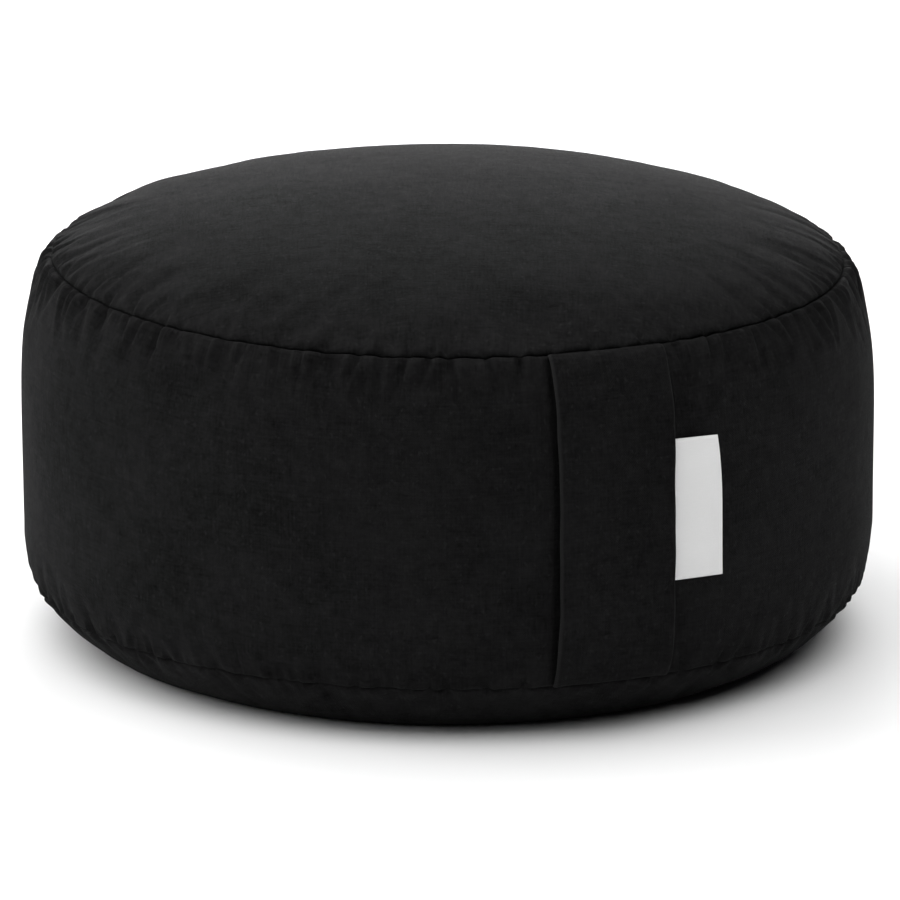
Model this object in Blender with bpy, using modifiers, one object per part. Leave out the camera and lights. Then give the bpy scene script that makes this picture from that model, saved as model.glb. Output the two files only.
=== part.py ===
"""A round meditation cushion with a handle strap down its side and a small bare label beside it.

The cover is a round top panel, a side band and a round bottom panel. Each panel is cut a little larger than
the seam that it is sewn into, so the cloth is gathered there and the seams are ringed with puckers.
Everything is in metres, with +Z up, the floor at height 0 and the front of the cushion towards -Y.
"""

import random
from math import tau

import bmesh
import bpy
import numpy as np

# The outline of the filled cushion, from its crown down to the floor
WIDEST_RADIUS = 0.165
WIDEST_HEIGHT = 0.0483
TOP_SEAM_RADIUS = 0.1532
TOP_SEAM_HEIGHT = 0.1457
CROWN_RISE = 0.0278
BOTTOM_SEAM_RADIUS = 0.1606
BOTTOM_SEAM_HEIGHT = 0.0196
BASE_RADIUS = 0.1365

# How full each stretch of the outline is, as its curve's exponent, and how much of the crown is a plain dome
CROWN_FULLNESS = 7.5
CROWN_DOME = 0.68
UPPER_SIDE_FULLNESS = 5.6
LOWER_SIDE_FULLNESS = 2.5
UNDERSIDE_FULLNESS = 1.52
OUTLINE_STEPS = 400

# The rings of the mesh, as distances along the cloth from the nearest seam
CROWN_RINGS = (0.0016, 0.004, 0.008, 0.013, 0.019, 0.027, 0.040, 0.058, 0.082, 0.112)
UPPER_SIDE_RINGS = (0.0016, 0.004, 0.008, 0.013, 0.019, 0.028, 0.042, 0.060, 0.078)
LOWER_SIDE_RINGS = (0.0016, 0.004, 0.008, 0.013, 0.020)
UNDERSIDE_RINGS = (0.0016, 0.004, 0.008, 0.013, 0.020)
ROUND_STEPS = 144

# The sewn seams, drawn into the cushion as grooves
GROOVE_DEPTH = 0.0018
GROOVE_WIDTH = 0.0022

# How each seam rises and falls on its way round: height, turns of the wave, angle of its first crest
TOP_SEAM_SWAY = ((0.0017, 1, -72), (0.0005, 3, -75))
BOTTOM_SEAM_SWAY = ((0.0009, 1, -15), (0.0005, 3, -5))
SWAY_REACH = 0.055

# The puckers of the gathered seams: their pitch and how uneven it is, and each one's size and lean
PUCKER_SEED = 11
PUCKER_PITCH = 0.025
PUCKER_SPACING = (0.6, 1.4)
PUCKER_WIDTH = 0.0065
PUCKER_DEPTH = (0.0009, 0.0020)
CROWN_REACH = (0.012, 0.028)
SIDE_REACH = (0.014, 0.030)
PUCKER_LEAN = (-0.35, 0.35)
PUCKER_PEAK = 0.25
STRAP_MARGIN = 0.012

# The puckers of the bottom seam, as shares of the top seam's: depth, and reach up the band and under the base
BOTTOM_DEPTH = 0.6
BOTTOM_UP_REACH = 0.5
BOTTOM_UNDER_REACH = 0.6

# The handle strap: a flat strip of the cover's cloth, folded double, from seam to seam
STRAP_ANGLE = np.radians(21.8)
STRAP_WIDTH = 0.045
STRAP_THICKNESS = 0.0018
STRAP_END_GAP = 0.0012
STRAP_LIFT = 0.00135
STRAP_FOLD_RADIUS = 0.0006
STRAP_GRID = (8, 28)

# The label: a folded ribbon with its root under the strap's right edge
LABEL_OUT = 0.0225
LABEL_TUCK = 0.006
LABEL_HEIGHT = 0.0535
LABEL_MIDDLE = 0.0850
LABEL_DROOP = 0.0012
LABEL_THICKNESS = 0.0010
LABEL_FOLD_RADIUS = 0.0003
LABEL_GRID = (6, 8)

# The clearance between two pieces, the least distance between a mesh's points, and the step for slopes
GAP = 0.0004
MERGE_DISTANCE = 0.00001
SLOPE_STEP = 0.001

# Shade and roughness of each cloth
BLACK_COTTON = (0.015, 0.95)
WHITE_RIBBON = (0.82, 0.7)


def clear_scene():
    for obj in list(bpy.data.objects):
        bpy.data.objects.remove(obj, do_unlink=True)


def crown(radius):
    way = radius / TOP_SEAM_RADIUS
    rise = CROWN_DOME * (1 - way**2) + (1 - CROWN_DOME) * (1 - way**CROWN_FULLNESS)
    return radius, TOP_SEAM_HEIGHT + CROWN_RISE * rise


def side(height):
    if height > WIDEST_HEIGHT:
        drawn_in = WIDEST_RADIUS - TOP_SEAM_RADIUS
        way = (height - WIDEST_HEIGHT) / (TOP_SEAM_HEIGHT - WIDEST_HEIGHT)
        return WIDEST_RADIUS - drawn_in * way**UPPER_SIDE_FULLNESS, height
    drawn_in = WIDEST_RADIUS - BOTTOM_SEAM_RADIUS
    way = (WIDEST_HEIGHT - height) / (WIDEST_HEIGHT - BOTTOM_SEAM_HEIGHT)
    return WIDEST_RADIUS - drawn_in * way**LOWER_SIDE_FULLNESS, height


def underside(way):
    radius = BOTTOM_SEAM_RADIUS + (BASE_RADIUS - BOTTOM_SEAM_RADIUS) * way
    return radius, BOTTOM_SEAM_HEIGHT * (1 - way) ** UNDERSIDE_FULLNESS


def outline():
    """The cushion's outline as close points (radius, height), and the index of each seam."""
    top = [crown(radius) for radius in np.linspace(0, TOP_SEAM_RADIUS, OUTLINE_STEPS)]
    band = [side(height) for height in np.linspace(TOP_SEAM_HEIGHT, BOTTOM_SEAM_HEIGHT, OUTLINE_STEPS)[1:]]
    under = [underside(way) for way in np.linspace(0, 1, OUTLINE_STEPS)[1:]]
    return np.array(top + band + under), OUTLINE_STEPS - 1, 2 * OUTLINE_STEPS - 2


OUTLINE, TOP_SEAM_INDEX, BOTTOM_SEAM_INDEX = outline()
ALONG = np.concatenate([[0], np.cumsum(np.hypot(*np.diff(OUTLINE, axis=0).T))])
TOP_SEAM = ALONG[TOP_SEAM_INDEX]
BOTTOM_SEAM = ALONG[BOTTOM_SEAM_INDEX]
BASE_EDGE = ALONG[-1]
WIDEST = np.interp(-WIDEST_HEIGHT, -OUTLINE[TOP_SEAM_INDEX:, 1], ALONG[TOP_SEAM_INDEX:])


def radius_at(along):
    return np.interp(along, ALONG, OUTLINE[:, 0])


def height_at(along):
    return np.interp(along, ALONG, OUTLINE[:, 1])


def sway(angle, rows):
    return sum(height * np.cos(turns * (angle - np.radians(crest))) for height, turns, crest in rows)


def sway_at(angle, along):
    """How far the seams' sway lifts the cloth: most at each seam, and nothing at the flat base."""
    near_top = np.exp(-(((along - TOP_SEAM) / SWAY_REACH) ** 2))
    near_bottom = np.exp(-(((along - BOTTOM_SEAM) / SWAY_REACH) ** 2))
    settled = np.clip((BASE_EDGE - along) / (BASE_EDGE - BOTTOM_SEAM), 0, 1)
    return sway(angle, TOP_SEAM_SWAY) * near_top + sway(angle, BOTTOM_SEAM_SWAY) * near_bottom * settled


def groove_at(along):
    """How far the seams draw the cloth in."""
    nearest = np.minimum(abs(along - TOP_SEAM), abs(along - BOTTOM_SEAM))
    return GROOVE_DEPTH * np.exp(-nearest / GROOVE_WIDTH)


def cloth_point(angle, along, proud=0.0):
    """The point of the cover at this angle and this distance down the cloth, raised by proud."""
    run = radius_at(along + SLOPE_STEP) - radius_at(along - SLOPE_STEP)
    drop = height_at(along - SLOPE_STEP) - height_at(along + SLOPE_STEP)
    length = np.hypot(run, drop)
    out = proud - groove_at(along)
    radius = radius_at(along) + out * drop / length
    height = height_at(along) + out * run / length + sway_at(angle, along)
    return radius * np.sin(angle), -radius * np.cos(angle), height


def pucker_rows():
    """A row for each main pucker: angle, depth, reach up the crown, reach down the side, lean."""
    draw = random.Random(PUCKER_SEED)
    pitch = PUCKER_PITCH / TOP_SEAM_RADIUS
    rows = []
    angle = 0.0
    while angle < tau - pitch / 2:
        rows.append(
            (
                angle,
                draw.uniform(*PUCKER_DEPTH),
                draw.uniform(*CROWN_REACH),
                draw.uniform(*SIDE_REACH),
                draw.uniform(*PUCKER_LEAN),
            )
        )
        angle += pitch * draw.uniform(*PUCKER_SPACING)
    return rows


def pinch(across):
    """The section of a pucker: a trough with a soft swell along each side."""
    way = (across / PUCKER_WIDTH) ** 2
    return (2 * way - 1) * np.exp(-way)


def fade(distance, reach):
    """A pucker is held at the seam, deepest just beside it, and gone a little past its reach."""
    peak = reach * PUCKER_PEAK
    return distance / peak * np.exp(1 - distance / peak) * np.clip(2 - distance / reach, 0, 1)


def beside_strap(angle):
    """0 under the strap and 1 away from it."""
    across = abs(angle - STRAP_ANGLE) * TOP_SEAM_RADIUS - STRAP_WIDTH / 2
    return np.clip(across / STRAP_MARGIN, 0, 1)


def pucker_at(angle, along, rows):
    """How far the puckers move the cloth out at this point."""
    out = 0.0
    for at, depth, crown_reach, side_reach, lean in rows:
        turn = (angle - at + tau / 2) % tau - tau / 2
        for seam, up_reach, down_reach, share in (
            (TOP_SEAM, crown_reach, side_reach, 1.0),
            (BOTTOM_SEAM, BOTTOM_UP_REACH * side_reach, BOTTOM_UNDER_REACH * crown_reach, BOTTOM_DEPTH),
        ):
            distance = abs(along - seam)
            reach = up_reach if along < seam else down_reach
            across = turn * radius_at(seam) - lean * (along - seam)
            out += share * depth * pinch(across) * fade(distance, reach)
    return out * (beside_strap(angle) if TOP_SEAM < along < BOTTOM_SEAM else 1.0)


def ring_places():
    """Each ring's distance down the cloth, from the crown's middle to the edge of the flat base."""
    places = [0.0]
    places += [TOP_SEAM - distance for distance in reversed(CROWN_RINGS)]
    places += [TOP_SEAM]
    places += [TOP_SEAM + distance for distance in UPPER_SIDE_RINGS]
    places += [WIDEST]
    places += [BOTTOM_SEAM - distance for distance in reversed(LOWER_SIDE_RINGS)]
    places += [BOTTOM_SEAM]
    places += [BOTTOM_SEAM + distance for distance in UNDERSIDE_RINGS]
    return places + [BASE_EDGE]


def cloth_material(name, shade, roughness):
    material = bpy.data.materials.new(name)
    material.use_nodes = True
    shader = material.node_tree.nodes["Principled BSDF"]
    shader.inputs["Base Color"].default_value = (shade, shade, shade, 1)
    shader.inputs["Roughness"].default_value = roughness
    shader.inputs["Metallic"].default_value = 0
    return material


def add_object(name, mesh, material, collection):
    obj = bpy.data.objects.new(name, mesh)
    collection.objects.link(obj)
    mesh.materials.clear()
    mesh.materials.append(material)
    return obj


def turned_mesh(places, collection):
    """The plain round cushion: the rings' outline turned about the upright axis."""
    rows = [(radius_at(along), 0, height_at(along)) for along in places]
    rows.append((0, 0, 0))
    mesh = bpy.data.meshes.new("outline")
    mesh.from_pydata(rows, [(i, i + 1) for i in range(len(rows) - 1)], [])
    guide = bpy.data.objects.new("outline", mesh)
    collection.objects.link(guide)
    screw = guide.modifiers.new("turn", "SCREW")
    screw.steps = screw.render_steps = ROUND_STEPS
    screw.use_merge_vertices = True
    screw.merge_threshold = MERGE_DISTANCE
    graph = bpy.context.evaluated_depsgraph_get()
    turned = bpy.data.meshes.new_from_object(guide.evaluated_get(graph))
    bpy.data.objects.remove(guide, do_unlink=True)
    return turned


def make_cushion(material, collection):
    places = ring_places()
    mesh = turned_mesh(places, collection)
    rows = pucker_rows()
    known = [(radius_at(along), height_at(along), along) for along in places]
    for vertex in mesh.vertices:
        x, y, z = vertex.co
        radius = np.hypot(x, y)
        along = min(known, key=lambda ring: np.hypot(ring[0] - radius, ring[1] - z))[2]
        if along in (0.0, BASE_EDGE) or radius < MERGE_DISTANCE:
            continue
        angle = np.arctan2(x, -y)
        vertex.co = cloth_point(angle, along, pucker_at(angle, along, rows))
    cushion = add_object("cushion", mesh, material, collection)
    mesh.shade_smooth()
    return cushion


def strip_mesh(name, columns, rows, place):
    """A grid whose points are moved by place(across, down), both of which go from 0 to 1."""
    shape = bmesh.new()
    bmesh.ops.create_grid(shape, x_segments=columns, y_segments=rows, size=0.5)
    for vertex in shape.verts:
        vertex.co = place(vertex.co.x + 0.5, 0.5 - vertex.co.y)
    mesh = bpy.data.meshes.new(name)
    shape.to_mesh(mesh)
    shape.free()
    return mesh


def thicken(obj, thickness, edge_radius):
    """Gives a strip its cloth's thickness, outwards, and rounds its folded edges."""
    solidify = obj.modifiers.new("cloth", "SOLIDIFY")
    solidify.thickness = thickness
    solidify.offset = 1
    solidify.use_even_offset = True
    bevel = obj.modifiers.new("folded_edges", "BEVEL")
    bevel.width = edge_radius
    bevel.segments = 2
    bevel.limit_method = "ANGLE"
    obj.data.shade_smooth()


def strap_gap(down):
    """How far the strap stands off the band: it is held at both seams and loose between them."""
    return GAP + STRAP_LIFT * (1 - abs(2 * down - 1) ** 4)


def make_strap(material, collection):
    """The handle strap, as wide at its ends as at its middle."""
    start = TOP_SEAM + STRAP_END_GAP
    length = BOTTOM_SEAM - STRAP_END_GAP - start

    def place(across, down):
        along = start + length * down
        angle = STRAP_ANGLE + (across - 0.5) * STRAP_WIDTH / radius_at(along)
        return cloth_point(angle, along, strap_gap(down))

    mesh = strip_mesh("handle_strap", *STRAP_GRID, place)
    strap = add_object("handle_strap", mesh, material, collection)
    thicken(strap, STRAP_THICKNESS, STRAP_FOLD_RADIUS)
    return strap


def make_label(material, collection):
    """The label, level with the strap's middle, its free edge hanging a little lower than its root."""
    middle = np.interp(-LABEL_MIDDLE, -OUTLINE[TOP_SEAM_INDEX:, 1], ALONG[TOP_SEAM_INDEX:])
    root = STRAP_ANGLE + (STRAP_WIDTH / 2 - LABEL_TUCK) / WIDEST_RADIUS
    width = (LABEL_TUCK + LABEL_OUT) / WIDEST_RADIUS

    def place(across, down):
        along = middle + LABEL_HEIGHT * (down - 0.5) + LABEL_DROOP * across
        return cloth_point(root + width * across, along, GAP)

    mesh = strip_mesh("label", *LABEL_GRID, place)
    label = add_object("label", mesh, material, collection)
    thicken(label, LABEL_THICKNESS, LABEL_FOLD_RADIUS)
    return label


def main():
    clear_scene()
    collection = bpy.data.collections.new("meditation_cushion")
    bpy.context.scene.collection.children.link(collection)
    black_cotton = cloth_material("black_cotton", *BLACK_COTTON)
    white_ribbon = cloth_material("white_ribbon", *WHITE_RIBBON)
    make_cushion(black_cotton, collection)
    make_strap(black_cotton, collection)
    make_label(white_ribbon, collection)


main()
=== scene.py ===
"""The looks of a round meditation cushion: gathered black cotton, a flat handle strap and a white label."""

import random
from math import cos, pi, radians, sin, tau

import bpy
import numpy as np
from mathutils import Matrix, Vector


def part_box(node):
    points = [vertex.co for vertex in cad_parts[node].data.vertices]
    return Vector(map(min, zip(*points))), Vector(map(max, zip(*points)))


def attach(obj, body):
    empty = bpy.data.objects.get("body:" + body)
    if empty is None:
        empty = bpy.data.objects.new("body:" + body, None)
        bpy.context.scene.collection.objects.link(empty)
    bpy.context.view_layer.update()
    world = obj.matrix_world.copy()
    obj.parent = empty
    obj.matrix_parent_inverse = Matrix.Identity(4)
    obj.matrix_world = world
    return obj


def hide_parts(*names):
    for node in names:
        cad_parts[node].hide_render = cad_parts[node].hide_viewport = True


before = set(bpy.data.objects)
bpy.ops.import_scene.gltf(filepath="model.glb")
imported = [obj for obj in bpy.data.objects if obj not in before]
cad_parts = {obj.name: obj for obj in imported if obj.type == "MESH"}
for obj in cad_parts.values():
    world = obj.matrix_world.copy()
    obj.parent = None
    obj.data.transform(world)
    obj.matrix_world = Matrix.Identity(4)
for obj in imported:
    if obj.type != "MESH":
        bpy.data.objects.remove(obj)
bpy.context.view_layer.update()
CUSHION_LOW, CUSHION_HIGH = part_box("cushion")

# The outline of the filled cushion, from its crown down to the floor, in metres
WIDEST_RADIUS = (CUSHION_HIGH[0] - CUSHION_LOW[0]) / 2
WIDEST_HEIGHT = 0.0483
TOP_SEAM_RADIUS = 0.1532
TOP_SEAM_HEIGHT = 0.1457
CROWN_RISE = CUSHION_HIGH[2] - TOP_SEAM_HEIGHT
BOTTOM_SEAM_RADIUS = 0.1606
BOTTOM_SEAM_HEIGHT = 0.0196
BASE_RADIUS = 0.1365

# How full each stretch of the outline is, as its curve's exponent, how much of the crown is a plain dome, and
# how closely the outline is drawn
CROWN_FULLNESS = 7.5
CROWN_DOME = 0.68
UPPER_SIDE_FULLNESS = 5.6
LOWER_SIDE_FULLNESS = 2.5
UNDERSIDE_FULLNESS = 1.52
OUTLINE_STEPS = 400
SLOPE_STEP = 0.001
TINY = 1e-9

# The cloth mesh: the steps round it, the first two steps away from a seam, and the number of steps that each
# stretch is divided into, by a rule that is worked out in so many rounds
ROUND_STEPS = 384
SEAM_STEP = 0.0014
GATHER_STEP = 0.0026
CROWN_RING_COUNT = 21
UPPER_SIDE_RING_COUNT = 19
LOWER_SIDE_RING_COUNT = 9
UNDERSIDE_RING_COUNT = 8
SPREAD_ROUNDS = 60

# The sewn seams: a narrow cleft in a soft hollow, as depth and width, and the rings added to shape the cleft
CLEFT = (0.0022, 0.00045)
HOLLOW = (0.0009, 0.0026)
CLEFT_RINGS = (0.00035,)
BOTTOM_GROOVE = 0.5
GROOVE_UNEVEN = ((0.12, 31), (0.10, 47), (0.08, 83))

# How each seam rises and falls on its way round: height, turns of the wave, angle of its first crest
TOP_SEAM_SWAY = ((0.0017, 1, -72), (0.0005, 3, -75))
BOTTOM_SEAM_SWAY = ((0.0009, 1, -15), (0.0005, 3, -5))
SWAY_REACH = 0.055

# The cloth to spare beside each seam: the panels are cut longer than the seams that they are gathered into
MOST_SPARE = 0.075
CROWN_SPARE = 0.3
BOTTOM_SPARE = 0.4
CROWN_SPARE_REACH = 0.010
BAND_SPARE_REACH = 0.011

# The puckers of the gathered seams: main ones, where the solid has them, finer ones between, and narrow
# creases. Lengths are in metres, and peak is the share of its reach at which a pucker is deepest
MAIN_PUCKERS = {
    "seed": 11,
    "pitch": 0.025,
    "width": 0.0048,
    "depth": (0.0007, 0.0015),
    "crown_reach": (0.009, 0.022),
    "side_reach": (0.010, 0.022),
    "peak": 0.25,
}
FINE_PUCKERS = {
    "seed": 23,
    "pitch": 0.0105,
    "width": 0.0030,
    "depth": (0.0002, 0.0006),
    "crown_reach": (0.006, 0.014),
    "side_reach": (0.010, 0.020),
    "peak": 0.25,
}
CREASES = {
    "seed": 5,
    "pitch": 0.0115,
    "width": 0.0021,
    "depth": (0.0008, 0.0026),
    "crown_reach": (0.003, 0.010),
    "side_reach": (0.008, 0.017),
    "peak": 0.28,
}

# How unevenly the puckers are spaced, as shares of their pitch, how far they lean, and how strong they are on
# the crown and at the bottom seam
PUCKER_SPACING = (0.6, 1.4)
PUCKER_LEAN = (-0.35, 0.35)
CROWN_SHARE = 0.6
BOTTOM_SHARE = 0.6

# The cloth simulation: the cloth, how far it may move, how far up the crown its folds reach, and the rims by
# the flat base where the cloth is held and where it stays on the floor
CLOTH = {
    "quality": 8,
    "mass": 0.05,
    "tension_stiffness": 60,
    "compression_stiffness": 60,
    "shear_stiffness": 10,
    "bending_stiffness": 0.02,
    "tension_damping": 1,
    "compression_damping": 1,
    "shear_damping": 1,
    "bending_damping": 0.1,
    "air_damping": 0.5,
    "use_pressure": True,
    "uniform_pressure_force": 4.0,
    "pin_stiffness": 5,
}
CLOTH_FRAMES = 24
MOST_MOVE = 0.003
CALM_CROWN = 0.026
HELD_RIM = 0.004
FLAT_RIM = 0.0005

# The handle strap, folded double, with round edges a little thicker than its middle. It is pressed into the
# band at its edges and tucked into the seams at its ends, and its edges waver, by these sizes and waves
STRAP_ANGLE = radians(21.8)
STRAP_WIDTH = 0.045
STRAP_THICKNESS = 0.0015
STRAP_EDGE_THICKNESS = 0.0023
STRAP_ROLL = 0.0020
STRAP_PRESS = 0.0014
STRAP_PRESS_REACH = 0.0013
STRAP_PRESS_START = 0.010
STRAP_LIFT = 0.00135
STRAP_LIFT_POWER = 4
STRAP_MARGIN = 0.008
STRAP_END_GAP = 0.0003
STRAP_TUCK = 0.0020
STRAP_TUCK_REACH = 0.0014
STRAP_TUCK_THINNING = 0.4
STRAP_RIPPLE = 0.0002
STRAP_RIPPLE_TURNS = 2.5
STRAP_WAVER = ((0.00022, 1.3), (0.00014, 3.1), (0.00008, 6.7))
STRAP_ROWS = 110
STRAP_ROWS_BUNCHING = 0.09
STRAP_COLUMNS = 22

# The label, a ribbon folded in half. Its free edge droops, waves and turns in towards its upper corner
LABEL_OUT = 0.0225
LABEL_TUCK = 0.006
LABEL_HEIGHT = 0.0535
LABEL_MIDDLE = 0.0850
LABEL_DROOP = 0.0012
LABEL_DROOP_POWER = 1.5
LABEL_THICKNESS = 0.0010
LABEL_LAYER_FILL = 0.86
LABEL_WAVE = 0.0004
LABEL_WAVE_TURNS = 0.8
LABEL_WAVE_START = 0.6
LABEL_TURN_IN = 0.0028
LABEL_ROWS = 40
LABEL_COLUMNS = 26

# The gap that keeps the strap and the label off the cover, and the angles of a fold's round bend
GAP = 0.0004
BEND = np.linspace(0, pi, 9)[1:-1]

# The black cotton: its colours, and how strongly each unevenness moves its tone and its relief. A weave has
# the pitch of its yarns and how far they wander, in metres. A stretched noise has a scale across and one down
COVER_COLOUR = (0.0054, 0.0054, 0.0055)
STRAP_COLOUR = (0.0050, 0.0050, 0.0051)
DARKEST, LIGHTEST = 0.45, 2.0
MIDDLE_TONE = 0.5
COTTON_WEAVE = {"pitch": 0.00046, "wander": 0.0006, "tone": 0.16, "relief": 0.00012}
SLUBS = {"scales": (1400.0, 90.0), "detail": 2.0, "tone": 0.6, "relief": 0.00022}
MOTTLE = {"scale": 620.0, "detail": 3.0, "roughness": 0.6, "tone": 0.5, "relief": 0.00012}
BLOTCHES = {"scale": 165.0, "detail": 2.0, "roughness": 0.5, "tone": 0.35, "relief": 0.00025}
CLOUDS = {"scale": 26.0, "detail": 3.0, "roughness": 0.55, "tone": 0.35}
LIGHT_FLECKS = {"scales": (520.0, 380.0), "detail": 1.0, "limits": (0.63, 0.74), "tone": 0.5}
DARK_FLECKS = {"scales": (300.0, 410.0), "detail": 1.0, "limits": (0.32, 0.20), "tone": -0.15}
COTTON_ROUGHNESS = (0.84, 0.96)
COTTON_SHINE = (0.03, 0.09)
COTTON_SHEEN, COTTON_SHEEN_ROUGHNESS = 0.004, 0.4
COTTON_BUMP = 0.8

# Painted highlight along the strap's folded edges, standing in for light caught by their rolled folds: where
# across the strap it lies, and how much lighter the left and right edges are painted
STRAP_HIGHLIGHT_SPAN = (0.0212, 0.0222)
STRAP_EDGE_HIGHLIGHTS = ((-1.0, 1.0), (1.0, 0.45))

# The white ribbon, in the same terms
RIBBON_COLOURS = (0.76, 0.76, 0.755), (0.86, 0.86, 0.86)
RIBBON_WEAVE = {"pitch": 0.00032, "wander": 0.0001, "tone": 0.25, "relief": 0.00005}
RIBBON_RIBS = {"scales": (300.0, 2400.0), "detail": 2.0, "tone": 0.2, "relief": 0.00004}
RIBBON_CLOUDS = {"scale": 60.0, "detail": 2.0, "roughness": 0.5, "tone": 0.25}
RIBBON_ROUGHNESS = (0.55, 0.75)
RIBBON_SHINE = 0.35
RIBBON_SHEEN = 0.1
RIBBON_BUMP = 0.6

# The noise by which the yarns of both cloths wander
WANDER = {"scale": 180.0, "detail": 1.0, "roughness": 0.5}

# The plain floor
FLOOR_SIZE = 12
FLOOR_COLOUR = (0.93, 0.93, 0.93, 1)
FLOOR_ROUGHNESS = 0.9

# The camera that took the photograph: height and distance of its aim, its tilt and its lens
AIM_HEIGHT = 0.0664
CAMERA_SIDE = 0.0008
CAMERA_DISTANCE = 2.310
CAMERA_TILT = radians(16.08)
LENS = 237.9

# The studio's soft lamps: name, azimuth from +X and elevation in degrees, size in metres, watts
LAMPS = (
    ("overhead", 0, 88, 4.0, 111.5),
    ("backdrop", 90, 13, 1.0, 31),
    ("backdrop_left", 130, 13, 1.0, 6),
    ("back_left", 140, 40, 1.4, 4.7),
    ("left", 180, 30, 1.4, 18.7),
    ("front_left", 230, 35, 1.4, 7.7),
)
LAMP_DISTANCE = 2.2
LAMP_AIM = (0, 0, 0.08)
WORLD_LIGHT = 0.01


def crown(radius):
    """A point of the outline on the top panel, as (radius, height)."""
    way = radius / TOP_SEAM_RADIUS
    rise = CROWN_DOME * (1 - way**2) + (1 - CROWN_DOME) * (1 - way**CROWN_FULLNESS)
    return radius, TOP_SEAM_HEIGHT + CROWN_RISE * rise


def side(height):
    """A point of the outline on the side band."""
    if height > WIDEST_HEIGHT:
        drawn_in = WIDEST_RADIUS - TOP_SEAM_RADIUS
        way = (height - WIDEST_HEIGHT) / (TOP_SEAM_HEIGHT - WIDEST_HEIGHT)
        return WIDEST_RADIUS - drawn_in * way**UPPER_SIDE_FULLNESS, height
    drawn_in = WIDEST_RADIUS - BOTTOM_SEAM_RADIUS
    way = (WIDEST_HEIGHT - height) / (WIDEST_HEIGHT - BOTTOM_SEAM_HEIGHT)
    return WIDEST_RADIUS - drawn_in * way**LOWER_SIDE_FULLNESS, height


def underside(way):
    """A point of the outline this share of the way from the bottom seam to the flat base."""
    radius = BOTTOM_SEAM_RADIUS + (BASE_RADIUS - BOTTOM_SEAM_RADIUS) * way
    return radius, BOTTOM_SEAM_HEIGHT * (1 - way) ** UNDERSIDE_FULLNESS


def outline():
    """The cushion's outline as close points (radius, height), and the index of each seam."""
    top = [crown(radius) for radius in np.linspace(0, TOP_SEAM_RADIUS, OUTLINE_STEPS)]
    band = [side(height) for height in np.linspace(TOP_SEAM_HEIGHT, BOTTOM_SEAM_HEIGHT, OUTLINE_STEPS)[1:]]
    under = [underside(way) for way in np.linspace(0, 1, OUTLINE_STEPS)[1:]]
    return np.array(top + band + under), OUTLINE_STEPS - 1, 2 * OUTLINE_STEPS - 2


OUTLINE, TOP_SEAM_INDEX, BOTTOM_SEAM_INDEX = outline()
ALONG = np.concatenate([[0], np.cumsum(np.hypot(*np.diff(OUTLINE, axis=0).T))])
TOP_SEAM = ALONG[TOP_SEAM_INDEX]
BOTTOM_SEAM = ALONG[BOTTOM_SEAM_INDEX]
BASE_EDGE = ALONG[-1]


def along_at(height):
    """The distance down the cloth, from the crown's middle, at this height below the top seam."""
    return np.interp(-height, -OUTLINE[TOP_SEAM_INDEX:, 1], ALONG[TOP_SEAM_INDEX:])


WIDEST = along_at(WIDEST_HEIGHT)


def radius_at(along):
    return np.interp(along, ALONG, OUTLINE[:, 0])


def height_at(along):
    return np.interp(along, ALONG, OUTLINE[:, 1])


def sway(angle, rows):
    return sum(height * np.cos(turns * (angle - radians(crest))) for height, turns, crest in rows)


def sway_at(angle, along):
    """How far the cloth stands higher here because its seams rise and fall; the flat base stays flat."""
    near_top = np.exp(-(((along - TOP_SEAM) / SWAY_REACH) ** 2))
    near_bottom = np.exp(-(((along - BOTTOM_SEAM) / SWAY_REACH) ** 2))
    settled = np.clip((BASE_EDGE - along) / (BASE_EDGE - BOTTOM_SEAM), 0, 1)
    return sway(angle, TOP_SEAM_SWAY) * near_top + sway(angle, BOTTOM_SEAM_SWAY) * near_bottom * settled


def groove_at(along):
    """How far the seams draw the cloth in."""
    depth = 0.0
    for seam, share in ((TOP_SEAM, 1.0), (BOTTOM_SEAM, BOTTOM_GROOVE)):
        for size, width in (CLEFT, HOLLOW):
            depth = depth + share * size * np.exp(-abs(along - seam) / width)
    return depth


def outward(along):
    """The outward direction of the cover at this distance down the cloth, as (radius, height)."""
    run = radius_at(along + SLOPE_STEP) - radius_at(along - SLOPE_STEP)
    drop = height_at(along - SLOPE_STEP) - height_at(along + SLOPE_STEP)
    length = np.maximum(np.hypot(run, drop), TINY)
    return drop / length, run / length


def cloth_points(angle, along, proud=0.0):
    """The points of the cover at these angles and distances down the cloth, raised by proud."""
    out, up = outward(along)
    radius = radius_at(along) + proud * out
    height = height_at(along) + proud * up + sway_at(angle, along)
    return np.stack([radius * np.sin(angle), -radius * np.cos(angle), height], -1)


def pucker_rows(kind):
    """A row for each pucker: angle, depth, reach up the crown, reach down the side, lean."""
    draw = random.Random(kind["seed"])
    pitch = kind["pitch"] / TOP_SEAM_RADIUS
    rows = []
    angle = 0.0
    while angle < tau - 0.5 * pitch:
        depth = draw.uniform(*kind["depth"])
        reaches = draw.uniform(*kind["crown_reach"]), draw.uniform(*kind["side_reach"])
        rows.append((angle, depth, *reaches, draw.uniform(*PUCKER_LEAN)))
        angle += pitch * draw.uniform(*PUCKER_SPACING)
    return rows


def fade(distance, reach, peak_share):
    """A pucker is held at the seam, deepest just beside it, and gone a little past its reach."""
    peak = reach * peak_share
    return distance / peak * np.exp(1 - distance / peak) * np.clip(2 - distance / reach, 0, 1)


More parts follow.
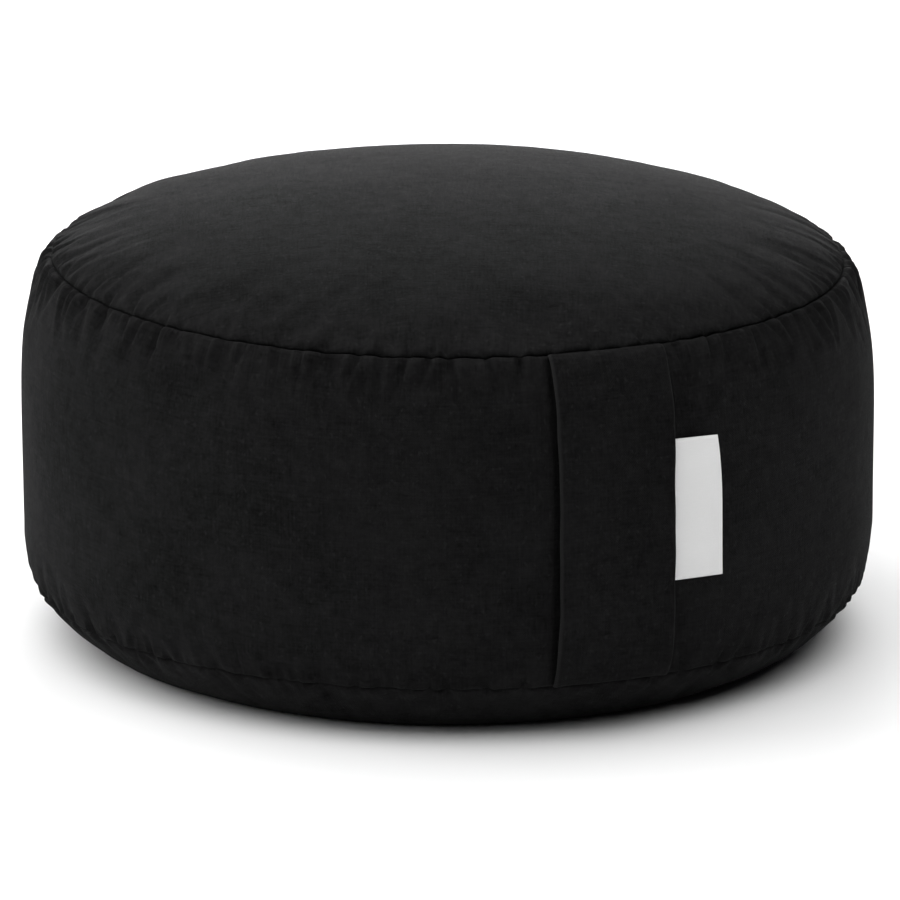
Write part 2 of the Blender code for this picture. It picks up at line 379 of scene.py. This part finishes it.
def puckers_at(turn, along, kind):
    """How far the puckers of a kind move the cloth out, at each of these turns and distances down it."""
    out = np.zeros_like(turn)
    for at, depth, crown_reach, side_reach, lean in pucker_rows(kind):
        gone = (turn - at + pi) % tau - pi
        for seam, up_reach, down_reach, share in (
            (TOP_SEAM, crown_reach, side_reach, np.where(along < TOP_SEAM, CROWN_SHARE, 1.0)),
            (BOTTOM_SEAM, BOTTOM_SHARE * side_reach, BOTTOM_SHARE * crown_reach, BOTTOM_SHARE),
        ):
            distance = abs(along - seam)
            reach = np.where(along < seam, up_reach, down_reach)
            way = ((gone * radius_at(seam) - lean * (along - seam)) / kind["width"]) ** 2
            out += share * depth * (2 * way - 1) * np.exp(-way) * fade(distance, reach, kind["peak"])
    return out


def spread(length, count, first):
    """Distances from a seam that grow evenly from the first step until they cover the length."""
    grow = 1.0
    for _ in range(SPREAD_ROUNDS):
        steps = np.maximum(first * grow ** np.arange(count), first)
        grow *= (length / steps.sum()) ** (1.0 / count)
    return np.cumsum(steps)[:-1]


def from_seam(length, count):
    """The distances of the rings from a seam, over this length of cloth: one close to it, then more."""
    return [SEAM_STEP] + [SEAM_STEP + d for d in spread(length - SEAM_STEP, count, GATHER_STEP)]


def ring_places():
    """Each ring's distance down the cloth, from nearly the crown's middle to the edge of the flat base."""
    places = [TOP_SEAM - d for d in reversed(from_seam(TOP_SEAM, CROWN_RING_COUNT))]
    places += [TOP_SEAM]
    places += [TOP_SEAM + d for d in from_seam(WIDEST - TOP_SEAM, UPPER_SIDE_RING_COUNT)]
    places += [WIDEST]
    places += [BOTTOM_SEAM - d for d in reversed(from_seam(BOTTOM_SEAM - WIDEST, LOWER_SIDE_RING_COUNT))]
    places += [BOTTOM_SEAM]
    places += [BOTTOM_SEAM + d for d in from_seam(BASE_EDGE - BOTTOM_SEAM, UNDERSIDE_RING_COUNT)]
    return np.array(places + [BASE_EDGE])


def grid_faces(rings, steps):
    """Faces of a closed round grid: a fan at the crown's middle, the rings, and a fan in the base."""
    top, bottom = rings * steps, rings * steps + 1
    faces = [(top, k, (k + 1) % steps) for k in range(steps)]
    for ring in range(rings - 1):
        here, below = ring * steps, (ring + 1) * steps
        for k in range(steps):
            after = (k + 1) % steps
            faces.append((here + k, below + k, below + after, here + after))
    last = (rings - 1) * steps
    faces += [(last + k, bottom, last + (k + 1) % steps) for k in range(steps)]
    return faces


def fullness(along):
    """The cloth to spare at each distance down the cover, as a share of the most."""
    below_top = along - TOP_SEAM
    below_bottom = along - BOTTOM_SEAM
    crown_side = CROWN_SPARE * np.exp(below_top / CROWN_SPARE_REACH)
    band_top = np.exp(-below_top / BAND_SPARE_REACH)
    band_bottom = BOTTOM_SPARE * np.exp(below_bottom / BAND_SPARE_REACH)
    under = BOTTOM_SPARE * np.exp(-below_bottom / BAND_SPARE_REACH)
    on_band = np.maximum(band_top, band_bottom)
    return np.where(below_top < 0, crown_side, np.where(below_bottom < 0, on_band, under))


def read_points(mesh):
    """The mesh's points, one row for each."""
    points = np.empty(len(mesh.vertices) * 3, np.float32)
    mesh.vertices.foreach_get("co", points)
    return points.reshape(-1, 3).astype(float)


def weight_group(obj, name, weights):
    """Adds a vertex group with these weights, rounded so that points of like weight go in together."""
    group = obj.vertex_groups.new(name=name)
    rounded = np.round(weights, 2)
    for weight in np.unique(rounded):
        if weight > 0:
            group.add(np.flatnonzero(rounded == weight).tolist(), float(weight), "REPLACE")


def simulate(obj, held, tight):
    """Lets the cloth, cut larger than its seams, buckle into puckers while the filling presses it out."""
    weight_group(obj, "held", held)
    weight_group(obj, "tight", tight)
    cloth = obj.modifiers.new("cloth", "CLOTH")
    settings = cloth.settings
    for name, value in CLOTH.items():
        setattr(settings, name, value)
    settings.vertex_group_mass = "held"
    settings.vertex_group_shrink = "tight"
    settings.shrink_min = -MOST_SPARE
    settings.shrink_max = 0
    settings.effector_weights.gravity = 0
    cloth.point_cache.frame_start = 1
    cloth.point_cache.frame_end = CLOTH_FRAMES
    scene = bpy.context.scene
    for number in range(1, CLOTH_FRAMES + 1):
        scene.frame_set(number)
    graph = bpy.context.evaluated_depsgraph_get()
    points = read_points(obj.evaluated_get(graph).to_mesh())
    obj.evaluated_get(graph).to_mesh_clear()
    obj.modifiers.remove(cloth)
    scene.frame_set(1)
    return points


def kept_in_form(start, moved, along):
    """The moved cloth's puckers on the cloth as it started: each ring keeps its mean place."""
    rings, steps = along.shape
    shift = (moved - start)[: rings * steps].reshape(rings, steps, 3)
    angles = np.arange(steps) * tau / steps
    round_out = np.stack([np.sin(angles), -np.cos(angles)], -1)
    out = (shift[:, :, :2] * round_out).sum(-1)
    up = shift[:, :, 2]
    calm = np.exp(-((np.maximum(TOP_SEAM - along, 0) / CALM_CROWN) ** 2))
    out = (out - out.mean(1, keepdims=True)) * calm
    up = (up - up.mean(1, keepdims=True)) * calm
    size = np.maximum(np.hypot(out, up), TINY)
    keep = MOST_MOVE * np.tanh(size / MOST_MOVE) / size
    result = start.copy()
    grid = result[: rings * steps].reshape(rings, steps, 3)
    grid[:, :, :2] += (out * keep)[:, :, None] * round_out
    grid[:, :, 2] += up * keep
    return result


def mesh_object(name, points, faces, material):
    mesh = bpy.data.meshes.new(name)
    mesh.from_pydata([tuple(p) for p in points], [], faces)
    mesh.update()
    mesh.materials.append(material)
    mesh.shade_smooth()
    obj = bpy.data.objects.new(name, mesh)
    bpy.context.scene.collection.objects.link(obj)
    return obj


def apply_modifiers(obj):
    graph = bpy.context.evaluated_depsgraph_get()
    mesh = bpy.data.meshes.new_from_object(obj.evaluated_get(graph))
    obj.modifiers.clear()
    obj.data = mesh


def lay_out_cloth(mesh, flat_points):
    """Gives the mesh a UV map named cloth: each corner's place on the flat cloth, in metres."""
    layer = mesh.uv_layers.new(name="cloth")
    layer.data.foreach_set("uv", np.asarray(flat_points, np.float32).ravel())


def cushion_layout(mesh, along):
    """The flat place of each corner: the panels are laid out from above and the band from the side."""
    corners = np.empty(len(mesh.loops), np.int32)
    mesh.loops.foreach_get("vertex_index", corners)
    starts = np.empty(len(mesh.polygons), np.int32)
    mesh.polygons.foreach_get("loop_start", starts)
    counts = np.empty(len(mesh.polygons), np.int32)
    mesh.polygons.foreach_get("loop_total", counts)
    points = read_points(mesh)[corners]
    down = along[corners]
    face_of = np.repeat(np.arange(len(starts)), counts)
    face_down = np.add.reduceat(down, starts) / counts
    on_band = ((face_down > TOP_SEAM) & (face_down < BOTTOM_SEAM))[face_of]
    turn = np.arctan2(points[:, 0], -points[:, 1])
    face_turn = turn[starts][face_of]
    turn = face_turn + (turn - face_turn + pi) % tau - pi
    reach = np.where(down < TOP_SEAM, down, down - BOTTOM_SEAM + BOTTOM_SEAM_RADIUS)
    panel = np.stack([reach * np.sin(turn), -reach * np.cos(turn)], -1)
    band = np.stack([turn * WIDEST_RADIUS, -down], -1)
    return np.where(on_band[:, None], band, panel)


def under_strap(angles):
    """1 under the strap and 0 away from it."""
    across = (abs(angles - STRAP_ANGLE) * WIDEST_RADIUS - STRAP_WIDTH / 2) / STRAP_MARGIN
    return np.clip(1 - across, 0, 1)


def pressed_at(angles, along):
    """1 where the strap's edges lie and under it, 0 away from it and at both seams."""
    outside = abs(angles - STRAP_ANGLE) * radius_at(along) - STRAP_WIDTH / 2
    from_seam = np.minimum(abs(along - TOP_SEAM), abs(along - BOTTOM_SEAM))
    return np.clip(1 - outside / STRAP_PRESS_REACH, 0, 1) * np.clip(from_seam / STRAP_PRESS_START, 0, 1)


def finer(grid):
    """One subdivision of a grid of rings: each ring is closed, and the first and last rings stay in place."""
    after = np.roll(grid, -1, 1)
    eased = (np.roll(grid, 1, 1) + 6 * grid + after) / 8
    rings, steps, values = grid.shape
    wide = np.stack([eased, (grid + after) / 2], 2).reshape(rings, 2 * steps, values)
    result = np.empty((2 * rings - 1, 2 * steps, values))
    result[0::2] = wide
    result[2:-1:2] = (wide[:-2] + 6 * wide[1:-1] + wide[2:]) / 8
    result[1::2] = (wide[:-1] + wide[1:]) / 2
    return result


def with_cleft_rings(grid):
    """Adds rings close beside both seams, on the straight lines between the rings that are there."""
    along = grid[:, 0, 3]
    wanted = [seam + side * d for seam in (TOP_SEAM, BOTTOM_SEAM) for side in (-1, 1) for d in CLEFT_RINGS]
    places = np.sort(np.concatenate([along, wanted]))
    after = np.clip(np.searchsorted(along, places), 1, len(along) - 1)
    before = after - 1
    share = (places - along[before]) / (along[after] - along[before])
    return grid[before] * (1 - share)[:, None, None] + grid[after] * share[:, None, None]


def sew_seams(points, along):
    """Draws the cloth in along both seams, unevenly, creases it there, and presses it in under the strap."""
    turn = np.arctan2(points[:, 0], -points[:, 1])
    out, up = outward(along)
    uneven = 1 + sum(share * np.sin(turns * turn + turns) for share, turns in GROOVE_UNEVEN)
    on_band = (along > TOP_SEAM) & (along < BOTTOM_SEAM)
    bare = 1 - np.where(on_band, under_strap(turn), 0)
    move = puckers_at(turn, along, CREASES) * bare - groove_at(along) * uneven
    move = move - STRAP_PRESS * np.where(on_band, pressed_at(turn, along), 0)
    points[:, 0] += move * out * np.sin(turn)
    points[:, 1] -= move * out * np.cos(turn)
    points[:, 2] += move * up * (along < BASE_EDGE - FLAT_RIM)


def make_cushion(material):
    """The filled cover: puckered, simulated, made finer, and then sewn along both seams."""
    places = ring_places()
    rings = len(places)
    angles = np.arange(ROUND_STEPS) * tau / ROUND_STEPS
    turn, along = np.meshgrid(angles, places)
    signed = (turn + pi) % tau - pi
    on_band = (along > TOP_SEAM) & (along < BOTTOM_SEAM)
    covered = np.where(on_band, under_strap(signed), 0)
    puckers = (puckers_at(turn, along, MAIN_PUCKERS) + puckers_at(turn, along, FINE_PUCKERS)) * (1 - covered)
    middles = np.concatenate([cloth_points(np.array([0.0]), np.array([0.0])), [[0, 0, 0]]])
    points = np.concatenate([cloth_points(turn.ravel(), along.ravel(), puckers.ravel()), middles])
    seam = (along == TOP_SEAM) | (along == BOTTOM_SEAM)
    held = np.where(seam | (along >= BASE_EDGE - HELD_RIM), 1.0, 0.0)
    held = np.concatenate([np.maximum(held, covered).ravel(), [0.0, 1.0]])
    tight = np.concatenate([1 - fullness(along).ravel(), [1.0, 1.0]])
    cloth = mesh_object("cloth", points, grid_faces(rings, ROUND_STEPS), material)
    moved = simulate(cloth, held, tight)
    bpy.data.objects.remove(cloth)
    points = kept_in_form(points, moved, along)
    grid = np.concatenate([points[:-2].reshape(rings, ROUND_STEPS, 3), along[:, :, None]], -1)
    grid = with_cleft_rings(finer(grid))
    fine = grid[:, :, :3].reshape(-1, 3)
    down = grid[:, :, 3].ravel()
    sew_seams(fine, down)
    faces = grid_faces(grid.shape[0], grid.shape[1])
    cushion = mesh_object("cushion_cover", np.concatenate([fine, middles]), faces, material)
    lay_out_cloth(cushion.data, cushion_layout(cushion.data, np.concatenate([down, [0.0, BASE_EDGE]])))
    return cushion


def strap_section():
    """The section of the folded strap as (across, height) in metres, from its middle round and back."""
    radius = STRAP_EDGE_THICKNESS / 2
    half = STRAP_WIDTH / 2 - radius
    flat = np.sin(np.linspace(-pi / 2, pi / 2, STRAP_COLUMNS)) * half
    swell = np.exp(-(((half - abs(flat)) / STRAP_ROLL) ** 2))
    thick = STRAP_THICKNESS + (STRAP_EDGE_THICKNESS - STRAP_THICKNESS) * swell
    right = np.stack([half + radius * np.sin(BEND), radius + radius * np.cos(BEND)], -1)
    top = np.stack([flat, thick], -1)
    under = np.stack([-flat, np.zeros_like(flat)], -1)
    left = np.stack([-half - radius * np.sin(BEND), radius - radius * np.cos(BEND)], -1)
    return np.concatenate([top, right, under, left])


def strap_gap(down):
    """How far the strap stands off the band: it is held at both seams and loose between them."""
    return GAP + STRAP_LIFT * (1 - abs(2 * down - 1) ** STRAP_LIFT_POWER)


def strap_waver(down, start):
    """How far an edge of the strap strays from a straight line; start sets where its waves begin."""
    return sum(size * np.sin(turns * tau * down + start * turns) for size, turns in STRAP_WAVER)[:, None]


def between_rows(rows, count, closed):
    """Faces that join neighbouring rows of points; in closed rows the last point joins the first."""
    faces = []
    for row in range(rows - 1):
        here, below = row * count, (row + 1) * count
        for k in range(count if closed else count - 1):
            after = (k + 1) % count
            faces.append((here + k, here + after, below + after, below + k))
    return faces


def corners_of(faces):
    return np.array([corner for face in faces for corner in face])


def make_strap(material):
    """The strap, a flat tube laid on the band; its rows of points are bunched at the seams."""
    section = strap_section()
    start = TOP_SEAM + STRAP_END_GAP
    length = BOTTOM_SEAM - STRAP_END_GAP - start
    down = np.linspace(0, 1, STRAP_ROWS)
    down = down - STRAP_ROWS_BUNCHING * np.sin(tau * down) / pi
    along = (start + length * down)[:, None]
    from_end = length * np.minimum(down, 1 - down)[:, None]
    tucked = np.exp(-from_end / STRAP_TUCK_REACH)
    across, height = section[None, :, 0], section[None, :, 1]
    waver = np.where(across > 0, strap_waver(down, 1), strap_waver(down, 2))
    near_edge = np.clip(abs(across) / (STRAP_WIDTH / 2), 0, 1) ** 3
    shift = across + waver * near_edge * (1 - tucked)
    angle = STRAP_ANGLE + shift / radius_at(along)
    ripple = STRAP_RIPPLE * np.sin(tau * STRAP_RIPPLE_TURNS * down + 1)[:, None]
    ripple = ripple * np.cos(pi * across / STRAP_WIDTH) * (1 - tucked)
    thinned = height * (1 - STRAP_TUCK_THINNING * tucked)
    proud = strap_gap(down)[:, None] + thinned - STRAP_TUCK * tucked + ripple
    all_across = np.broadcast_to(across, angle.shape).ravel()
    all_along = np.broadcast_to(along, angle.shape).ravel()
    points = cloth_points(angle.ravel(), all_along, proud.ravel())
    count = len(section)
    faces = between_rows(STRAP_ROWS, count, closed=True)
    faces.append(tuple(reversed(range(count))))
    faces.append(tuple(range((STRAP_ROWS - 1) * count, STRAP_ROWS * count)))
    strap = mesh_object("strap_cloth", points, faces, material)
    layout = np.stack([all_across, -all_along], -1)
    lay_out_cloth(strap.data, layout[corners_of(faces)])
    strap.modifiers.new("finer", "SUBSURF").levels = 1
    apply_modifiers(strap)
    return strap


def make_label(material):
    """A white ribbon folded in half: the fold is its free edge, and both ends lie under the strap."""
    layer = LABEL_THICKNESS / 2
    width = LABEL_TUCK + LABEL_OUT
    radius = layer / 2
    run = np.linspace(0, width - layer, LABEL_COLUMNS)
    upper = np.full_like(run, 3 * radius)
    lower = np.full_like(run, radius)
    across = np.concatenate([run, width - layer + radius * np.sin(BEND), run[::-1]])
    height = np.concatenate([upper, 2 * radius + radius * np.cos(BEND), lower])
    down = np.linspace(0, 1, LABEL_ROWS)[:, None]
    out = across[None, :] / width
    droop = LABEL_DROOP * out**LABEL_DROOP_POWER
    along = along_at(LABEL_MIDDLE) + LABEL_HEIGHT * (down - 0.5) + droop
    root = STRAP_ANGLE + (STRAP_WIDTH / 2 - LABEL_TUCK) / WIDEST_RADIUS
    turned_in = LABEL_TURN_IN * out * (1 - down) ** 2
    angle = root + (across[None, :] - turned_in) / WIDEST_RADIUS
    wave = LABEL_WAVE * out**2 * (1 + np.sin(tau * LABEL_WAVE_TURNS * down + LABEL_WAVE_START))
    proud = GAP + height[None, :] + wave
    points = cloth_points(angle.ravel(), along.ravel(), proud.ravel())
    faces = between_rows(LABEL_ROWS, len(across), closed=False)
    label = mesh_object("label_ribbon", points, faces, material)
    length = np.concatenate([[0], np.cumsum(np.hypot(np.diff(across), np.diff(height)))])
    layout = np.stack(np.broadcast_arrays(length[None, :], -LABEL_HEIGHT * down), -1).reshape(-1, 2)
    lay_out_cloth(label.data, layout[corners_of(faces)])
    thickness = label.modifiers.new("ribbon", "SOLIDIFY")
    thickness.thickness = layer * LABEL_LAYER_FILL
    thickness.offset = 0
    apply_modifiers(label)
    return label


class Wires:
    """Adds nodes to a material and joins them."""

    def __init__(self, name):
        self.material = bpy.data.materials.new(name)
        self.material.use_nodes = True
        self.tree = self.material.node_tree
        self.shader = self.tree.nodes["Principled BSDF"]

    def node(self, kind, inputs, **settings):
        made = self.tree.nodes.new(kind)
        for name, value in settings.items():
            setattr(made, name, value)
        for key, value in inputs.items():
            self.put(made.inputs[key], value)
        return made

    def put(self, socket, value):
        if isinstance(value, bpy.types.NodeSocket):
            self.tree.links.new(value, socket)
        else:
            socket.default_value = value

    def math(self, operation, *values):
        return self.node("ShaderNodeMath", dict(enumerate(values)), operation=operation).outputs[0]

    def cloth_place(self):
        return self.node("ShaderNodeUVMap", {}, uv_map="cloth").outputs[0]

    def scaled(self, place, across, down):
        scale = (across, down, 1.0)
        return self.node("ShaderNodeVectorMath", {0: place, 1: scale}, operation="MULTIPLY").outputs[0]

    def noise(self, place, kind):
        """Noise with the scale, detail and roughness of the kind."""
        inputs = {"Vector": place, "Scale": kind["scale"]}
        inputs.update({"Detail": kind["detail"], "Roughness": kind["roughness"]})
        return self.node("ShaderNodeTexNoise", inputs).outputs[0]

    def stretched(self, place, scales, detail):
        """Noise with one scale across the cloth and another down it."""
        return self.noise(self.scaled(place, *scales), {"scale": 1.0, "detail": detail, "roughness": 0.5})

    def between(self, factor, low, high):
        """From low to high as the factor goes from 0 to 1."""
        return self.math("MULTIPLY_ADD", factor, high - low, low)

    def toned(self, tone, parts):
        """The tone, moved up and down by each value as strongly as its kind says."""
        for value, kind in parts:
            tone = self.math("ADD", tone, self.between(value, -kind["tone"], kind["tone"]))
        return tone

    def raise_surface(self, parts, strength):
        """Gives the shader a bump, to which each value adds as much relief as its kind says."""
        height = 0.0
        for value, kind in parts:
            height = self.math("MULTIPLY_ADD", value, kind["relief"], height)
        bump = self.node("ShaderNodeBump", {"Height": height, "Distance": 1.0, "Strength": strength})
        self.put(self.shader.inputs["Normal"], bump.outputs[0])

    def step(self, value, low, high):
        """From 0 to 1, softly, as the value goes from low to high."""
        inputs = {"Value": value, "From Min": low, "From Max": high}
        return self.node("ShaderNodeMapRange", inputs, interpolation_type="SMOOTHSTEP").outputs[0]

    def mixed(self, factor, first, second):
        """From the first colour to the second as the factor goes from 0 to 1."""
        made = self.node("ShaderNodeMix", {}, data_type="RGBA")
        self.put(made.inputs[0], factor)
        self.put(made.inputs[6], first)
        self.put(made.inputs[7], second)
        return made.outputs[2]


def woven_height(wires, place, kind):
    """A plain weave: round yarns that go over and under each other, from 0 between them to 1 on top."""
    loose = wires.noise(place, WANDER)
    shift = wires.math("MULTIPLY", wires.math("SUBTRACT", loose, 0.5), kind["wander"])
    split = wires.node("ShaderNodeSeparateXYZ", {0: place})
    across = wires.math("ADD", split.outputs[0], shift)
    down = wires.math("SUBTRACT", split.outputs[1], shift)
    warp = wires.math("SINE", wires.math("MULTIPLY", across, pi / kind["pitch"]))
    weft = wires.math("SINE", wires.math("MULTIPLY", down, pi / kind["pitch"]))
    warp_on_top = wires.math("GREATER_THAN", wires.math("MULTIPLY", warp, weft), 0.0)
    warp_round = wires.math("ABSOLUTE", warp)
    weft_round = wires.math("ABSOLUTE", weft)
    difference = wires.math("SUBTRACT", warp_round, weft_round)
    return wires.math("MULTIPLY_ADD", warp_on_top, difference, weft_round)


def cotton_material(name, colour, highlight_at=None):
    """Matt black cotton: plain weave of slubby yarns, flecked and mottled; on the strap, painted edge
    highlights.
    """
    wires = Wires(name)
    place = wires.cloth_place()
    weave = woven_height(wires, place, COTTON_WEAVE)
    warp_slubs = wires.stretched(place, SLUBS["scales"], SLUBS["detail"])
    weft_slubs = wires.stretched(place, SLUBS["scales"][::-1], SLUBS["detail"])
    slubs = wires.math("MULTIPLY", wires.math("ADD", warp_slubs, weft_slubs), 0.5)
    mottle = wires.noise(place, MOTTLE)
    blotches = wires.noise(place, BLOTCHES)
    clouds = wires.noise(place, CLOUDS)
    uneven = [(slubs, SLUBS), (mottle, MOTTLE), (blotches, BLOTCHES), (weave, COTTON_WEAVE)]
    tone = wires.toned(MIDDLE_TONE, [*uneven, (clouds, CLOUDS)])
    for kind in (LIGHT_FLECKS, DARK_FLECKS):
        flecks = wires.step(wires.stretched(place, kind["scales"], kind["detail"]), *kind["limits"])
        tone = wires.math("MULTIPLY_ADD", flecks, kind["tone"], tone)
    # Painted highlight: the strap's folded edges are lightened as if their rolls caught the light, the left
    # edge most
    if highlight_at:
        across = wires.node("ShaderNodeSeparateXYZ", {0: place}).outputs[0]
        for edge, highlight_strength in STRAP_EDGE_HIGHLIGHTS:
            painted_highlight = wires.step(wires.math("MULTIPLY", across, edge), *highlight_at)
            tone = wires.math("MULTIPLY_ADD", painted_highlight, highlight_strength, tone)
    dark = tuple(DARKEST * value for value in colour)
    light = tuple(LIGHTEST * value for value in colour)
    wires.put(wires.shader.inputs["Base Color"], wires.mixed(tone, (*dark, 1), (*light, 1)))
    wires.put(wires.shader.inputs["Roughness"], wires.between(mottle, *COTTON_ROUGHNESS))
    wires.put(wires.shader.inputs["Specular IOR Level"], wires.between(tone, *COTTON_SHINE))
    wires.shader.inputs["Sheen Weight"].default_value = COTTON_SHEEN
    wires.shader.inputs["Sheen Roughness"].default_value = COTTON_SHEEN_ROUGHNESS
    wires.raise_surface(uneven, COTTON_BUMP)
    return wires.material


def ribbon_material(name):
    """A smooth white woven ribbon, with fine ribs across it and a hint of unevenness."""
    wires = Wires(name)
    place = wires.cloth_place()
    weave = woven_height(wires, place, RIBBON_WEAVE)
    ribs = wires.stretched(place, RIBBON_RIBS["scales"], RIBBON_RIBS["detail"])
    clouds = wires.noise(place, RIBBON_CLOUDS)
    uneven = [(weave, RIBBON_WEAVE), (ribs, RIBBON_RIBS)]
    tone = wires.toned(MIDDLE_TONE, [*uneven, (clouds, RIBBON_CLOUDS)])
    dark, light = RIBBON_COLOURS
    wires.put(wires.shader.inputs["Base Color"], wires.mixed(tone, (*dark, 1), (*light, 1)))
    wires.put(wires.shader.inputs["Roughness"], wires.between(ribs, *RIBBON_ROUGHNESS))
    wires.shader.inputs["Specular IOR Level"].default_value = RIBBON_SHINE
    wires.shader.inputs["Sheen Weight"].default_value = RIBBON_SHEEN
    wires.raise_surface(uneven, RIBBON_BUMP)
    return wires.material


def floor_material():
    wires = Wires("floor_paint")
    wires.shader.inputs["Base Color"].default_value = FLOOR_COLOUR
    wires.shader.inputs["Roughness"].default_value = FLOOR_ROUGHNESS
    return wires.material


def make_camera():
    data = bpy.data.cameras.new("camera")
    data.lens = LENS
    camera = bpy.data.objects.new("camera", data)
    bpy.context.scene.collection.objects.link(camera)
    camera.location = (
        CAMERA_SIDE,
        -CAMERA_DISTANCE * cos(CAMERA_TILT),
        AIM_HEIGHT + CAMERA_DISTANCE * sin(CAMERA_TILT),
    )
    camera.rotation_euler = (pi / 2 - CAMERA_TILT, 0, 0)
    bpy.context.scene.camera = camera


def make_floor():
    bpy.ops.mesh.primitive_plane_add(size=FLOOR_SIZE)
    floor = bpy.context.object
    floor.name = "floor"
    floor.data.materials.append(floor_material())


def make_light():
    world = bpy.data.worlds.new("studio")
    world.use_nodes = True
    world.node_tree.nodes["Background"].inputs["Color"].default_value = (1, 1, 1, 1)
    world.node_tree.nodes["Background"].inputs["Strength"].default_value = WORLD_LIGHT
    bpy.context.scene.world = world
    aim = Vector(LAMP_AIM)
    for name, azimuth, elevation, size, watts in LAMPS:
        data = bpy.data.lights.new(name, "AREA")
        data.energy = watts
        data.size = size
        lamp = bpy.data.objects.new(name, data)
        bpy.context.scene.collection.objects.link(lamp)
        turn, rise = radians(azimuth), radians(elevation)
        towards = Vector((cos(rise) * cos(turn), cos(rise) * sin(turn), sin(rise)))
        lamp.location = aim + LAMP_DISTANCE * towards
        lamp.rotation_euler = towards.to_track_quat("Z", "Y").to_euler()
        lamp.visible_camera = False
    bpy.context.scene.view_settings.view_transform = "Standard"


def main():
    make_camera()
    make_light()
    make_floor()
    cushion = make_cushion(cotton_material("black_cotton", COVER_COLOUR))
    strap = make_strap(cotton_material("strap_cotton", STRAP_COLOUR, STRAP_HIGHLIGHT_SPAN))
    label = make_label(ribbon_material("white_ribbon"))
    for piece, node, slot in (
        (cushion, "cushion", "black_cotton"),
        (strap, "handle_strap", "strap_cotton"),
        (label, "label", "white_ribbon"),
    ):
        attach(piece, "root")
        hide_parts(node)


main()
